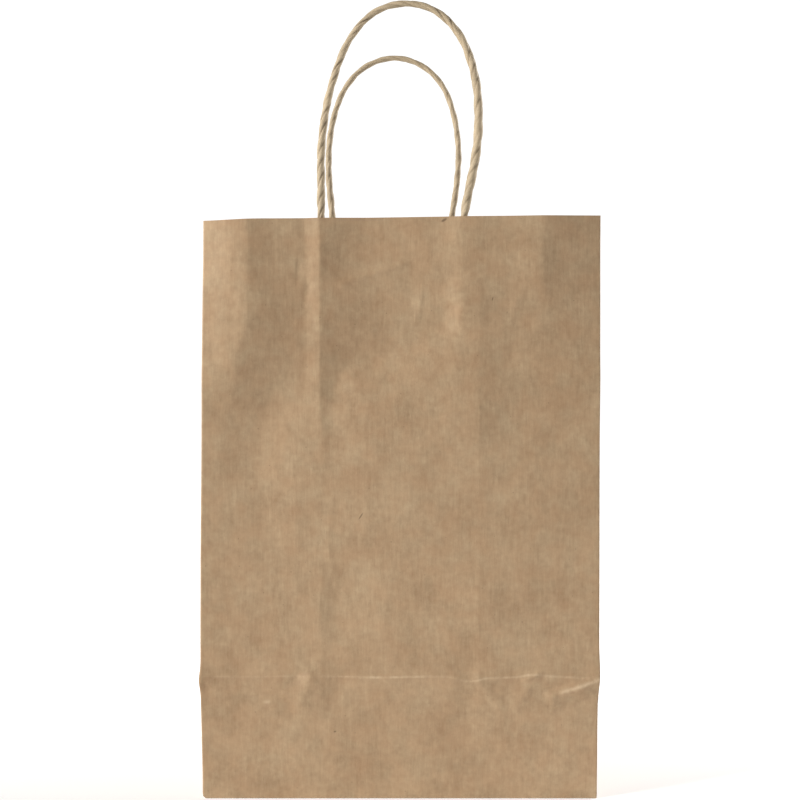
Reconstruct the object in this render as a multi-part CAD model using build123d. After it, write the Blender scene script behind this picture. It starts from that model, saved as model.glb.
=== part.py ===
"""Kraft paper gift bag with two twisted paper handles, in millimetres, +Z up.

The bag is one sheet of paper folded into a tube with side gussets and a block bottom. It is built here
panel by panel, with a free gap along each crease that turns, so that the two walls can lean together and
the two handles can swing. Each wall carries a patch of two paper strips, glued inside its top edge, with
the two ends of a paper cord held between them. The origin is the centre of the base, on the table.
The front wall is at -Y, and the back wall is its mirror image across the XZ plane.
"""

from build123d import *
import os
from math import cos, pi, radians, sin, tan

# --- The sheet -----------------------------------------------------------------------------------------
BAG_WIDTH = 180.0  # outside, from gusset to gusset
BAG_DEPTH = 110.0  # outside, from wall to wall
BAG_HEIGHT = 265.0
PAPER = 0.15  # thickness of the kraft paper
CREASE_GAP = 0.3  # free space along a crease between panels that turn

# --- The block bottom ----------------------------------------------------------------------------------
FLAP_OVERLAP = 22.0  # how far the two bottom flaps lie over each other at the middle
TUCK_NARROWING = 1.5  # how much a tucked gusset end narrows on each side towards its cut edge
SEAM_WIDTH = 15.0  # the glued overlap that closes the tube, inside the back wall
SEAM_INSET = 1.2  # from the wall's side crease to the overlap

# --- The handle patches --------------------------------------------------------------------------------
PATCH_MARGIN = 23.0  # from each side of the bag to a patch that stands in its middle
PATCH_HEIGHT = 50.0
PATCH_DROP = 1.0  # from the top edge of the wall down to the patch
RIDGE_FOOT = 4.2  # half the width of the tent that the patch makes over a cord

# --- The cords -----------------------------------------------------------------------------------------
CORD_DIAMETER = 3.4
CORD_SEAT = 0.05  # glue film round a cord between its two strips
CORD_END_LENGTH = 46.0  # how much of each cord end is held in the patch
HANDLE_GAP = 0.3  # least space where the cord bends, between its held and its free length
HANDLE_LEAN = 5.0  # degrees that a free handle leans away from the bag

# Each handle's route, across and up its own plane, from one end to the other. Across is from the middle
# of the bag, and up is from the top edge of the wall.
FRONT_ROUTE = [
    (-36.2, 0.0),
    (-35.9, 14.0),
    (-36.6, 30.0),
    (-35.3, 47.0),
    (-31.2, 64.0),
    (-24.8, 80.0),
    (-13.0, 92.3),
    (2.0, 96.0),
    (16.5, 92.3),
    (27.6, 80.0),
    (33.6, 63.0),
    (35.2, 45.0),
    (34.0, 28.0),
    (31.0, 14.0),
    (28.3, 0.0),
]
BACK_ROUTE = [
    (-35.4, 0.0),
    (-36.6, 14.5),
    (-38.3, 31.0),
    (-38.4, 48.0),
    (-35.9, 64.5),
    (-30.2, 80.0),
    (-19.5, 92.3),
    (-3.6, 97.9),
    (12.5, 92.6),
    (23.3, 80.4),
    (28.6, 65.0),
    (30.9, 48.0),
    (30.2, 31.0),
    (27.7, 14.5),
    (25.2, 0.0),
]

# --- Worked out from the sizes above -------------------------------------------------------------------
CORD_RADIUS = CORD_DIAMETER / 2
HALF_WIDTH = BAG_WIDTH / 2
HALF_DEPTH = BAG_DEPTH / 2
INSIDE_HALF_WIDTH = HALF_WIDTH - PAPER
WALL_HALF_WIDTH = INSIDE_HALF_WIDTH - CREASE_GAP
FLAP_STACK = 2 * PAPER  # the two flaps where they lie over each other
FLAP_REACH = HALF_DEPTH + FLAP_OVERLAP / 2  # from any bottom crease in to the sheet's cut edge
WALL_FOOT = FLAP_STACK + CREASE_GAP
WALL_FACE = HALF_DEPTH - PAPER  # distance of a wall's inner face from the middle
PATCH_WIDTH = BAG_WIDTH - 2 * PATCH_MARGIN
PATCH_TOP = BAG_HEIGHT - PATCH_DROP
PATCH_FACE = WALL_FACE - PAPER  # distance of the inner face of a patch's base strip from the middle
CORD_LINE = PATCH_FACE - CORD_SEAT - CORD_RADIUS  # distance of a held cord's centre from the middle


def block(x_range, y_range, z_range):
    """A straight panel between two x, two y and two z."""
    (x0, x1), (y0, y1), (z0, z1) = x_range, y_range, z_range
    return Pos((x0 + x1) / 2, (y0 + y1) / 2, (z0 + z1) / 2) * Box(x1 - x0, y1 - y0, z1 - z0)


def sheet(outline, z):
    """A flat piece of paper with this outline, lying at height z."""
    return Pos(0, 0, z) * extrude(make_face(Polyline(*outline, close=True)), amount=PAPER)


def to_back(shape):
    """The same piece on the back wall."""
    return shape.mirror(Plane.XZ)


# --- Base: bottom flaps, tucked gusset ends and the two gussets ---------------------------------------
def bottom_flap(side, z):
    """One trapezoid flap of the block bottom. side is -1 for the front wall's flap and 1 for the back's."""
    inner = INSIDE_HALF_WIDTH - FLAP_REACH
    edge = side * HALF_DEPTH
    end = side * (HALF_DEPTH - FLAP_REACH)
    outline = [
        (-INSIDE_HALF_WIDTH, edge),
        (INSIDE_HALF_WIDTH, edge),
        (inner, end),
        (-inner, end),
    ]
    return sheet(outline, z)


def gusset_tuck(side):
    """A gusset's lower end, folded in over the flaps. side is -1 at the left and 1 at the right."""
    half = WALL_FACE - CREASE_GAP
    outer = side * INSIDE_HALF_WIDTH
    inner = side * (INSIDE_HALF_WIDTH - FLAP_REACH)
    outline = [
        (outer, -half),
        (outer, half),
        (inner, half - TUCK_NARROWING),
        (inner, TUCK_NARROWING - half),
    ]
    return sheet(outline, FLAP_STACK)


def gusset_half(side, end):
    """Half of a gusset, from its middle crease to one wall. side is -1 or 1 along X, and end along Y."""
    x_range = sorted((side * INSIDE_HALF_WIDTH, side * HALF_WIDTH))
    y_range = sorted((0.0, end * HALF_DEPTH))
    return block(x_range, y_range, (0.0, BAG_HEIGHT))


# --- Walls, drawn at the front ------------------------------------------------------------------------
def wall_panel():
    """The panel itself, standing on its bottom crease between the two gussets."""
    return block(
        (-WALL_HALF_WIDTH, WALL_HALF_WIDTH),
        (-HALF_DEPTH, -WALL_FACE),
        (WALL_FOOT, BAG_HEIGHT),
    )


def seam_flap():
    """The glued overlap that closes the tube, inside the right edge of a wall."""
    outer = WALL_HALF_WIDTH - SEAM_INSET
    return block(
        (outer - SEAM_WIDTH, outer),
        (-WALL_FACE, -WALL_FACE + PAPER),
        (WALL_FOOT, BAG_HEIGHT),
    )


def patch_middle(legs):
    """The patch is centred on the two cord ends."""
    return (legs[0] + legs[1]) / 2


def patch_base(legs):
    """The strip glued to the wall, under the cord ends."""
    middle = patch_middle(legs)
    return block(
        (middle - PATCH_WIDTH / 2, middle + PATCH_WIDTH / 2),
        (-WALL_FACE, -PATCH_FACE),
        (PATCH_TOP - PATCH_HEIGHT, PATCH_TOP),
    )


def tent(leg, radius, foot):
    """The section of a tent of paper over one cord, from the base strip's face round the cord."""
    round_top = Pos(leg, -CORD_LINE) * Circle(radius)
    feet = Pos(leg, -PATCH_FACE + PAPER / 4) * Rectangle(2 * foot, PAPER / 2)
    return make_hull([*round_top.edges(), *feet.edges()])


def patch_cover(legs):
    """The strip glued over the cord ends, flat between them and standing up over each one."""
    middle = patch_middle(legs)
    section = Pos(middle, -PATCH_FACE + PAPER / 2) * Rectangle(PATCH_WIDTH, PAPER)
    cavity_radius = CORD_RADIUS + CORD_SEAT
    for leg in legs:
        section += tent(leg, cavity_radius + PAPER, RIDGE_FOOT)
    for leg in legs:
        section -= tent(leg, cavity_radius, RIDGE_FOOT - 3 * PAPER)
    glued_side = Pos(middle, -PATCH_FACE - CORD_DIAMETER / 2) * Rectangle(PATCH_WIDTH, CORD_DIAMETER)
    section -= glued_side
    return Pos(0, 0, PATCH_TOP - PATCH_HEIGHT) * extrude(section, amount=PATCH_HEIGHT)


def cord_end(leg):
    """A cord's end, held in the patch and standing up to the top edge of the wall."""
    return Pos(leg, -CORD_LINE, BAG_HEIGHT - CORD_END_LENGTH / 2) * Cylinder(CORD_RADIUS, CORD_END_LENGTH)


# --- Handles, drawn at the front ----------------------------------------------------------------------
def leaning(across, up):
    """A step across and up the plane of a handle, which leans away from the bag, as a step in space."""
    lean = radians(HANDLE_LEAN)
    return Vector(across, -up * sin(lean), up * cos(lean))


def rim_drop(route):
    """How far the rim of a loop's ends reaches below their centres, at the end that slopes more."""
    slopes = []
    for end, inner in ((route[0], route[1]), (route[-1], route[-2])):
        run = leaning(inner[0] - end[0], inner[1] - end[1])
        slopes.append(radians(run.get_angle(Vector(0, 0, 1))))
    return CORD_RADIUS * sin(max(slopes))


def lifted(route):
    """The route's points in space, with both ends of the loop clear above the held cord ends."""
    foot = Vector(0, -CORD_LINE, BAG_HEIGHT + HANDLE_GAP + rim_drop(route))
    return [foot + leaning(across, up) for across, up in route]


def bend_radii(points):
    """The largest arc at each inner point that its two runs allow."""
    radii = []
    for before, here, after in zip(points, points[1:], points[2:]):
        run_in, run_out = here - before, after - here
        half_turn = radians(run_in.get_angle(run_out)) / 2
        radii.append(0.45 * min(run_in.length, run_out.length) / tan(half_turn))
    return radii


def handle_loop(name, route):
    """The free length of one cord: straight runs joined by tangent arcs, swept with a round section."""
    points = lifted(route)
    radii = bend_radii(points)
    path = FilletPolyline(*points, radius=radii)
    section = Plane(origin=path @ 0, z_dir=path % 0) * Circle(CORD_RADIUS)
    loop = sweep(section, path=path)
    section_volume = pi * CORD_RADIUS**2 * path.length
    print(name, "length", round(path.length, 1), "volume share", round(loop.volume / section_volume, 4))
    print(name, "smallest bend radius", round(min(radii), 1), "all", [round(r) for r in radii])
    return loop


def legs_of(route):
    """Where the two cord ends stand, across the bag."""
    return route[0][0], route[-1][0]


def wall_nodes(end, route, turn):
    """A wall's panel, patch and held cord ends, by node name. turn carries them to their own side."""
    legs = legs_of(route)
    return {
        f"{end}_panel": turn(wall_panel()),
        f"{end}_patch_base": turn(patch_base(legs)),
        f"{end}_patch_cover": turn(patch_cover(legs)),
        f"{end}_cord_end_left": turn(cord_end(legs[0])),
        f"{end}_cord_end_right": turn(cord_end(legs[1])),
    }


def all_nodes():
    nodes = {
        "bottom_back_flap": bottom_flap(1, 0.0),
        "bottom_front_flap": bottom_flap(-1, PAPER),
        "left_gusset_tuck": gusset_tuck(-1),
        "right_gusset_tuck": gusset_tuck(1),
        "left_gusset_front_half": gusset_half(-1, -1),
        "left_gusset_back_half": gusset_half(-1, 1),
        "right_gusset_front_half": gusset_half(1, -1),
        "right_gusset_back_half": gusset_half(1, 1),
    }
    nodes.update(wall_nodes("front", FRONT_ROUTE, lambda shape: shape))
    nodes.update(wall_nodes("back", BACK_ROUTE, to_back))
    nodes["back_seam_flap"] = to_back(seam_flap())
    nodes["front_handle_loop"] = handle_loop("front_handle_loop", FRONT_ROUTE)
    nodes["back_handle_loop"] = to_back(handle_loop("back_handle_loop", BACK_ROUTE))
    return nodes


os.makedirs("parts", exist_ok=True)
for node_name, node_shape in all_nodes().items():
    export_step(node_shape, f"parts/{node_name}.step")
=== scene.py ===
"""Kraft paper gift bag with twisted paper handles: the visible model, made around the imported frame.

Lengths in the shape functions are in millimetres, and become metres where a mesh is made. X runs to the
right, Y to the back and Z up. A relief is how far a sheet stands out from its flat face, outwards positive.
"""

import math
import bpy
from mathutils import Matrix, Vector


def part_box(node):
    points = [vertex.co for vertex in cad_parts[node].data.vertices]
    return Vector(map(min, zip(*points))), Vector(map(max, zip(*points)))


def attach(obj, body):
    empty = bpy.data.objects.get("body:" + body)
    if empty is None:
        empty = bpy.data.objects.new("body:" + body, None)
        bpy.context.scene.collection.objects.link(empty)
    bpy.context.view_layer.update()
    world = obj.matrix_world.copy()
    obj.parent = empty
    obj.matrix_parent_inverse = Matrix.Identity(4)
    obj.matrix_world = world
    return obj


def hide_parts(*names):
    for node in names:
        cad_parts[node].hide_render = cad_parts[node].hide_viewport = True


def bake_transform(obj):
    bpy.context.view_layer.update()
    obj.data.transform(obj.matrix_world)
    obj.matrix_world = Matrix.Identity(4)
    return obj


bl_info = {
    "name": "Kraft Paper Gift Bag",
    "version": (1, 0, 0),
    "blender": (4, 5, 0),
    "location": "3D View > Sidebar > Gift Bag",
    "description": "Builds a block-bottom kraft paper bag with twisted paper handles",
    "category": "Add Mesh",
}

import bpy
import numpy as np
from mathutils import Vector, noise

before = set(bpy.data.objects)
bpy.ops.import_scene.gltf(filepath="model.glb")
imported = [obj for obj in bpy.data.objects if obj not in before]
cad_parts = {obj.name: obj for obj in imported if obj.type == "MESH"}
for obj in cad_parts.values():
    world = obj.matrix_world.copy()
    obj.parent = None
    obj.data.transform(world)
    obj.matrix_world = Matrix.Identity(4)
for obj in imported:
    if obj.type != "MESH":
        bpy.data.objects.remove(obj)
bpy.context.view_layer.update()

MM = 0.001


def node_box(node):
    """A CAD node's lowest and highest corners, in millimetres."""
    low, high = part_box(node)
    return np.array(low) / MM, np.array(high) / MM


# --- Sizes read from the frame, in millimetres ----------------------------------------------------------
PANEL_LOW, PANEL_HIGH = node_box("front_panel")
HALF_WIDTH = -node_box("left_gusset_front_half")[0][0]
HALF_DEPTH = -PANEL_LOW[1]
TOP = PANEL_HIGH[2]
PAPER = PANEL_HIGH[1] - PANEL_LOW[1]
FOLD_LINE = HALF_WIDTH - HALF_DEPTH  # where the flat-folded gussets' middle creases mark the walls
FOLD_RISE = HALF_DEPTH  # height of the crease that the flat-folded bottom makes
SEAM_EDGE = 72.5  # where the glued overlap's edge marks the back wall
FLAP_REACH = node_box("bottom_front_flap")[1][1] + HALF_DEPTH
TUCK_HALF = node_box("left_gusset_tuck")[1][1]
CORD_LINE = -(node_box("front_cord_end_left")[0][1] + node_box("front_cord_end_left")[1][1]) / 2
HELD_END = node_box("front_cord_end_left")[0][2]

# --- Other sizes, in millimetres, and which end and side is meant -----------------------------------------
EDGE_RADIUS = 0.7  # of a fold between two panels
EIGHTH_TURN = math.pi / 4
FOOT = EDGE_RADIUS * (1 - EIGHTH_TURN)  # where a wall's sheet starts, half way round the fold at its foot
GUSSET_EDGE = 5.5  # width of a gusset's edge beside its wall, which ends the span passed in the gusset's blend
GLUE = 0.02  # thickness of glue between two sheets
CORD_FOOT = 0.65  # height of the free loops' ends above the walls' top edge
CORD_BEND = (-1.0, 6.5)  # heights from the top edge, passed as the span of a handle's blend; the cord isn't bent by them
CORD_SIDES = 28  # corners of one ring of a cord's skin
CORD_STEP = 0.6  # between two rings
UNROLLED_LENGTH = 10.0  # of cord to one unit up its UV map, whose unit across is one turn
HANDLE_LEAN = math.radians(5.0)
END_NAMES = {-1: "front", 1: "back"}
SIDE_NAMES = {-1: "left", 1: "right"}

# The front and the back handle's route, across and up its own plane, from one end to the other.
ROUTES = {
    -1: [(-36.2, 0.0), (-36.1, 14.0), (-36.2, 30.0), (-34.2, 47.0), (-29.8, 64.0), (-23.4, 79.5),
         (-12.4, 91.5), (2.0, 95.4), (16.5, 91.8), (27.6, 80.0), (33.6, 63.0), (35.2, 45.0), (34.0, 28.0),
         (31.0, 14.0), (28.3, 0.0)],
    1: [(-35.4, 0.0), (-36.6, 14.5), (-38.3, 31.0), (-38.4, 48.0), (-35.9, 64.5), (-30.2, 80.0),
        (-19.5, 91.8), (-3.6, 97.1), (12.5, 92.1), (23.3, 80.4), (28.6, 65.0), (30.9, 48.0), (30.2, 31.0),
        (27.7, 14.5), (25.2, 0.0)],
}


def handle_legs(end):
    """Where the two legs of a handle stand, across the wall."""
    return ROUTES[end][0][0], ROUTES[end][-1][0]


# === Settings =============================================================================================
class GiftBagPaper(bpy.types.PropertyGroup):
    """The kraft paper of the bag and its patches."""

    light_tone: bpy.props.FloatVectorProperty(
        name="Light tone", description="Colour of the paper's pale fibres",
        subtype="COLOR", size=3, min=0.0, max=1.0, default=(0.520, 0.379, 0.231),
    )
    dark_tone: bpy.props.FloatVectorProperty(
        name="Dark tone", description="Colour of the paper's dark fibres",
        subtype="COLOR", size=3, min=0.0, max=1.0, default=(0.296, 0.184, 0.098),
    )
    warm_tone: bpy.props.FloatVectorProperty(
        name="Warm tone", description="Colour of the redder clouds in the paper",
        subtype="COLOR", size=3, min=0.0, max=1.0, default=(0.480, 0.270, 0.140),
    )
    # This colour is also the painted highlight along the walls' upright edges and on the slanted ridge at the
    # right end of the front crease.
    worn_and_highlight_tone: bpy.props.FloatVectorProperty(
        name="Worn and highlight tone", description="Colour of the fibres where a fold has broken the surface",
        subtype="COLOR", size=3, min=0.0, max=1.0, default=(0.72, 0.55, 0.37),
    )
    roughness: bpy.props.FloatProperty(
        name="Roughness", description="How matt the paper is",
        subtype="FACTOR", min=0.0, max=1.0, default=0.62,
    )
    gusset_fold: bpy.props.FloatProperty(
        name="Gusset fold", description="How far a gusset's middle crease stands in at the mouth",
        unit="LENGTH", min=0.0, max=0.03, default=0.007,
    )
    relief: bpy.props.FloatProperty(
        name="Relief", description="Share of the walls' hand-made waves and dents that is shown",
        subtype="FACTOR", min=0.0, max=2.0, default=1.0,
    )


class GiftBagCord(bpy.types.PropertyGroup):
    """The twisted paper cord of the handles."""

    light_tone: bpy.props.FloatVectorProperty(
        name="Light tone", description="Colour of the cord's outer turns",
        subtype="COLOR", size=3, min=0.0, max=1.0, default=(0.588, 0.466, 0.306),
    )
    # Painted shade: the dark colour painted down in the cord's grooves, where shade falls.
    groove_shade_tone: bpy.props.FloatVectorProperty(
        name="Groove shade tone", description="Colour down in the cord's grooves",
        subtype="COLOR", size=3, min=0.0, max=1.0, default=(0.130, 0.080, 0.040),
    )
    lead: bpy.props.FloatProperty(
        name="Lead", description="Length of cord in which a groove goes once round",
        unit="LENGTH", min=0.005, max=0.1, default=0.022,
    )
    groove_depth: bpy.props.FloatProperty(
        name="Groove depth", description="Mean depth of the grooves between the cord's turns",
        unit="LENGTH", min=0.0, max=0.001, default=0.00060,
    )


class GiftBagStage(bpy.types.PropertyGroup):
    """Camera, lights and floor."""

    camera_distance: bpy.props.FloatProperty(
        name="Camera distance", description="From the middle of the bag to the camera",
        unit="LENGTH", default=0.682,
    )
    camera_height: bpy.props.FloatProperty(
        name="Camera height", description="Of the camera above the floor",
        unit="LENGTH", default=0.207,
    )
    camera_tilt: bpy.props.FloatProperty(
        name="Camera tilt", description="Angle that the camera looks down by",
        subtype="ANGLE", default=math.radians(2.18),
    )
    camera_lens: bpy.props.FloatProperty(
        name="Lens", description="Focal length in millimetres",
        default=62.2,
    )
    key_power: bpy.props.FloatProperty(
        name="Key power", description="Power of the large soft light at the left, in watts",
        default=66.0,
    )
    fill_power: bpy.props.FloatProperty(
        name="Fill power", description="Power of the soft light at the right rear, in watts",
        default=28.0,
    )
    surround: bpy.props.FloatProperty(
        name="Surround", description="Strength of the even light from all round",
        default=0.05,
    )


# === Shape functions, in millimetres ======================================================================
def smooth(t):
    """0 below 0, 1 above 1 and a smooth step between them."""
    t = np.clip(t, 0.0, 1.0)
    return t * t * (3 - 2 * t)


def window(v, low, high, soft):
    """1 between low and high, fading to 0 over soft on both sides."""
    return smooth((v - low + soft) / soft) * smooth((high + soft - v) / soft)


def mound(x, z, at, width, height, rise):
    """A round soft mound, or a hollow where rise is negative."""
    return rise * np.exp(-(((x - at[0]) / width) ** 2) - ((z - at[1]) / height) ** 2)


def along(x, z, start, end):
    """For each point, its share of the way from start to end and its signed distance from that line."""
    run = np.array(end, float) - np.array(start, float)
    length = np.hypot(*run)
    across, up = x - start[0], z - start[1]
    share = (across * run[0] + up * run[1]) / length**2
    distance = (across * run[1] - up * run[0]) / length
    return share, distance


def furrow(x, z, start, end, width, rise):
    """A soft ridge from start to end, or a valley where rise is negative, fading out past both ends."""
    share, distance = along(x, z, start, end)
    reach = np.hypot(end[0] - start[0], end[1] - start[1])
    fade = width / reach
    return rise * np.exp(-((distance / width) ** 2)) * window(share, fade, 1 - fade, 2 * fade)


def soft_peak(distance, left, right, rounding=0.8):
    """A peak of 1 with a rounded top, whose straight flanks are this wide on its left and right."""
    softened = np.sqrt(distance**2 + rounding**2) - rounding
    return np.clip(1 - softened / np.where(distance < 0, left, right), 0.0, None)


def rumple(x, z, size, seed):
    """Shallow waves about this long, from -1 to 1, the same on every run."""
    points = zip(np.ravel(x) / size, np.ravel(z) / size)
    return np.array([noise.noise(Vector((a, b, seed))) for a, b in points]).reshape(np.shape(x))


def bend(distance, rounding):
    """0 before distance 0 and rising at 45 degrees after it, with the bend rounded."""
    return (distance + np.sqrt(distance**2 + rounding**2)) / 2


def flowing(z, stations, values):
    """A smooth curve through these values at these stations that turns only there, level past both ends."""
    stations, values = np.array(stations, float), np.array(values, float)
    rises = np.diff(values) / np.diff(stations)
    before, after = rises[:-1], rises[1:]
    steady = before * after > 0
    tangents = np.zeros(len(values))
    tangents[1:-1][steady] = 2 * before[steady] * after[steady] / (before[steady] + after[steady])
    z = np.clip(z, stations[0], stations[-1])
    k = np.clip(np.searchsorted(stations, z) - 1, 0, len(stations) - 2)
    span = stations[k + 1] - stations[k]
    t = (z - stations[k]) / span
    return (
        (1 + 2 * t) * (1 - t) ** 2 * values[k]
        + t * (1 - t) ** 2 * span * tangents[k]
        + t * t * (3 - 2 * t) * values[k + 1]
        + t * t * (t - 1) * span * tangents[k + 1]
    )


def folded(x, z, folds):
    """Relief of a sheet that runs straight from each fold line to the next, from left to right."""
    places = []
    for rounding, across, out in folds:
        places.append((rounding, flowing(z, *zip(*across)), flowing(z, FOLD_HEIGHTS, out)))
    relief = places[0][2]
    slope = 0.0
    for (rounding, at, out), (_, next_at, next_out) in zip(places, places[1:]):
        next_slope = (next_out - out) / (next_at - at)
        relief = relief + (next_slope - slope) * bend(x - at, rounding)
        slope = next_slope
    return relief


# The front wall's fold lines from left to right: how round each is, where it runs as (height, across), and
# how far it stands out at each of these heights.
FOLD_HEIGHTS = (0, 30, 56, 90, 120, 150, 172, 190, 207, 225, 250)
FRONT_FOLDS = [
    (2.0, [(0, -96), (265, -96)],
     (0, 0.2, 0.8, 0.7, 1.6, 2.4, 3.7, 4.4, 2.8, 0.8, -2.0)),
    (3.0, [(0, -82), (190, -81), (207, -79), (225, -77), (265, -77)],
     (0, 0.3, 0.9, 0.5, 1.3, 1.9, 3.2, 4.5, 5.4, 4.1, 3.2)),
    (0.9, [(0, -70), (172, -76), (190, -76), (207, -73.5), (220, -69.5), (265, -69.5)],
     (0, 0.4, 0.9, 0.3, 1.0, 1.3, 2.5, 4.6, 5.3, 4.7, 3.8)),
    (3.0, [(0, -62), (110, -57), (130, -61), (150, -64), (172, -61), (190, -56), (207, -52), (225, -52),
           (245, -58), (265, -58)],
     (0, 0.5, 1.0, 0.1, 0.5, 0.3, 0.4, 1.2, 1.3, 1.2, 1.6)),
    (0.7, [(0, -47), (130, -48), (170, -49), (180, -45), (186, -43), (265, -43)],
     (0, 0.9, 1.3, 0.7, 1.5, 1.7, 1.4, 0.8, 0.7, 0.6, 0.4)),
    (0.6, [(0, -36), (60, -36.5), (96, -36.5), (115, -34.8), (160, -35.5), (190, -36.8), (265, -36.8)],
     (0, 0.8, 2.0, 1.1, 1.6, 1.9, 2.0, 1.7, 1.78, 1.9, 2.0)),
    (2.0, [(0, -29), (60, -29), (90, -29.5), (120, -32), (172, -32), (190, -29), (207, -20), (225, -14),
           (250, -17), (265, -17)],
     (0, 1.1, 1.6, 0.3, 1.6, 1.8, 1.3, 0.2, -0.9, -1.1, -1.2)),
    (3.0, [(0, -8), (90, -7), (150, -12), (172, -10), (190, -13), (207, -7), (225, 3), (265, 0)],
     (0, 1.0, 2.6, 2.0, 2.5, 2.7, 2.7, 2.2, -0.6, -2.1, -1.2)),
    (2.0, [(0, 14), (90, 14), (172, 18), (265, 20.5)],
     (0, 1.0, 2.6, 1.9, 2.4, 2.8, 2.7, 2.2, 1.0, -1.5, -0.7)),
    (0.9, [(0, 30), (150, 30), (207, 27.3), (265, 27.3)],
     (0, 0.7, 2.8, 2.8, 2.6, 2.8, 2.8, 2.1, 1.5, 0.9, 0.4)),
    (0.6, [(0, 35.5), (265, 35.5)],
     (0, 0.9, 3.2, 3.2, 2.7, 2.9, 2.9, 2.1, 0.9, 0.8, 0.2)),
    (3.0, [(0, 50), (265, 50)],
     (0, 1.1, 2.8, 2.6, 2.4, 2.1, 0.9, 0.5, -1.3, -1.0, -0.7)),
    (0.7, [(0, 63.5), (265, 63.5)],
     (0, 0.8, 2.5, 2.2, 2.2, 1.9, 0.6, -0.3, -1.4, -1.1, 0.0)),
    (2.0, [(0, 94), (265, 94)],
     (0, 0.4, 2.0, 1.6, 1.0, 0.0, -1.3, -1.8, -3.9, -4.5, -5.8)),
]


def front_relief(x, z):
    """How far the front wall stands out: the marks of flat folding, of the patch and of handling."""
    out = folded(x, z, FRONT_FOLDS)
    out += handling_marks(x, z)
    out += bottom_crease_relief(x, z)
    out += 0.35 * rumple(x, z, 38, 3.1) + 0.16 * rumple(x, z, 15, 7.7) + 0.06 * rumple(x, z, 6, 9.1)
    return out


def crease(x, z, start, end, left, right, rise, rounding=0.4):
    """A sharper ridge from start to end, or a valley, with flanks this wide on its left and right."""
    share, distance = along(x, z, start, end)
    fade = 0.5 * min(1.0, (left + right) / np.hypot(end[0] - start[0], end[1] - start[1]))
    return rise * soft_peak(distance, left, right, rounding) * window(share, fade / 2, 1 - fade / 2, fade)


# Marks of handling on the front wall. Soft ones: start, end, width and rise. Sharp ones: start, end, width of
# the left and of the right flank, rise and rounding.
SOFT_MARKS = [
    ((-31, 143), (-33, 112), 1.8, 0.22), ((-33, 114), (-29, 98), 1.6, 0.28),
    ((-35, 183), (-28, 183.5), 0.9, 0.35), ((19, 176), (36, 179.5), 1.0, 0.35),
    ((-28, 235), (2, 245), 1.8, 0.45), ((10, 236), (7, 218), 1.4, 0.32),
    ((-46, 246), (-47, 236), 1.2, -0.35), ((-41, 236), (-44, 226), 1.2, -0.30),
    ((52, 230), (50, 216), 1.0, 0.25), ((20, 232), (27, 234), 1.4, 0.30),
    ((21, 225), (27, 226), 1.4, -0.25), ((56, 55.5), (63.5, 59), 1.0, 0.60),
]
SHARP_MARKS = [
    ((-18, 200), (28, 219), 10, 26, -1.4, 1.6), ((-30, 238), (-20, 262), 9, 8, -0.5, 2.0),
    ((-46, 41), (-41, 57.5), 5, 12, 1.15, 0.8), ((-53, 47), (-40, 57.5), 3.5, 6, 0.7, 0.6),
    ((34, 58), (46, 42), 4, 3, 0.45), ((62, 58), (52, 42), 3, 5, 0.45),
]


def handling_marks(x, z):
    """Small creases and dents from handling, with the bottom crease's dent at each corner."""
    marks = sum(furrow(x, z, *mark) for mark in SOFT_MARKS)
    marks += sum(crease(x, z, *mark) for mark in SHARP_MARKS)
    marks += crease(x, z, (67, 47.3), (97, 57.5), 3.0, 6, 1.5, 0.7) * (1 - 0.6 * smooth((x - 80) / 10))
    marks += mound(x, z, (-87, 51), 3, 3, -0.6) + mound(x, z, (29, 51), 5, 6, -0.35)
    return marks + mound(x, z, (-92, 54), 7, 5.0, 0.9)


def bottom_crease_line(x):
    """Height of the crease across the front wall, which wanders a little."""
    dip = 1.9 * np.exp(-(((x - 31) / 5.5) ** 2))
    hop = 1.1 * np.exp(-(((x - 60) / 5.0) ** 2))
    return FOLD_RISE + 2.0 + 0.25 * np.sin(x / 9.0) - dip + hop - 0.7 * smooth((x - 66) / 20)


def bottom_crease_relief(x, z):
    """A low ridge along the crease across the front wall."""
    return 0.55 * soft_peak(z - bottom_crease_line(x), 8, 6, 0.35)


def back_relief(x, z):
    """How far the back wall stands out. It has the gussets' marks but no crease across it."""
    upper = smooth((z - 140) / 110)
    out = -3.6 * smooth((np.abs(x) - 60) / 30) * upper
    out += soft_peak(x + FOLD_LINE, 24, 7) * (0.5 + 0.8 * smooth((z - 120) / 60))
    out += soft_peak(x - FOLD_LINE, 7, 22) * (0.5 + 0.9 * smooth((z - 130) / 60))
    for leg in handle_legs(1):
        out += soft_peak(x - leg, 5.0, 5.0) * 0.9 * smooth((z - 205) / 12)
    out += mound(x, z, (4, 205), 24, 30, -1.1)
    out += crease(x, z, (-84, 196), (-38, 120), 14, 9, 1.2, 1.5)
    out += crease(x, z, (20, 150), (74, 92), 10, 16, -1.1, 1.5)
    out += furrow(x, z, (-15, 70), (30, 84), 3, 0.4)
    out += 0.18 * (smooth((x - 72) / 1.2) - smooth((x - 88) / 1.2))
    out += 0.40 * rumple(x, z, 45, 11.3) + 0.10 * rumple(x, z, 14, 5.2)
    return out


def edge_shift(side, z):
    """How far a vertical edge of the front wall wanders outwards."""
    if side < 0:
        shift = 1.7 - 0.6 * smooth((50 - z) / 45) - 1.85 * smooth((z - 70) / 150)
        return shift + 0.65 * np.exp(-(((z - 55) / 4.5) ** 2)) - 0.3 * smooth((z - 230) / 35)
    shift = 0.5 * smooth((z - 42) / 14) + 0.55 * smooth((z - 150) / 60)
    return shift + 0.4 * np.exp(-(((z - 60) / 7) ** 2))


def wall_relief(end, x, z):
    """Relief of the front wall (end -1) or the back wall (end 1)."""
    relief = bpy.context.scene.gift_bag_paper.relief
    return relief * (front_relief(x, z) if end < 0 else back_relief(x, z))


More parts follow.
